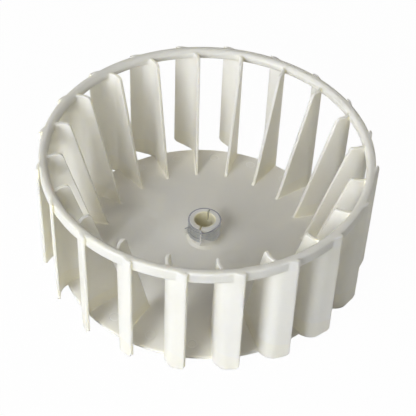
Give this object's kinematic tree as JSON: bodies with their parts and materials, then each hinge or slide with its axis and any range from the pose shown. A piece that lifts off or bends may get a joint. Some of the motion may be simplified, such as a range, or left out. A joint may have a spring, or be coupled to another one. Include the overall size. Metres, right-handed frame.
{
  "type": "dryer blower wheel",
  "caption": "Dryer blower wheel: a moulded impeller with hooked blades between a back plate and a front ring, and a slit hub closed on the shaft by a spring clamp.",
  "frame": {"origin": "on the bore axis, at the plane that the blades' back ends and the hub's back end lie in", "axes": "+Z along the bore axis, from the back plate towards the ring where air enters; +X through a blade's tip"},
  "size_m": [0.2, 0.2, 0.0826],
  "materials": {
    "wheel_plastic": "smooth, slightly translucent ivory",
    "spring_steel": "bright zinc plated"
  },
  "bodies": {
    "root": {"blower_wheel": "wheel_plastic", "hub_clamp": "spring_steel"}
  },
  "joints": []
}
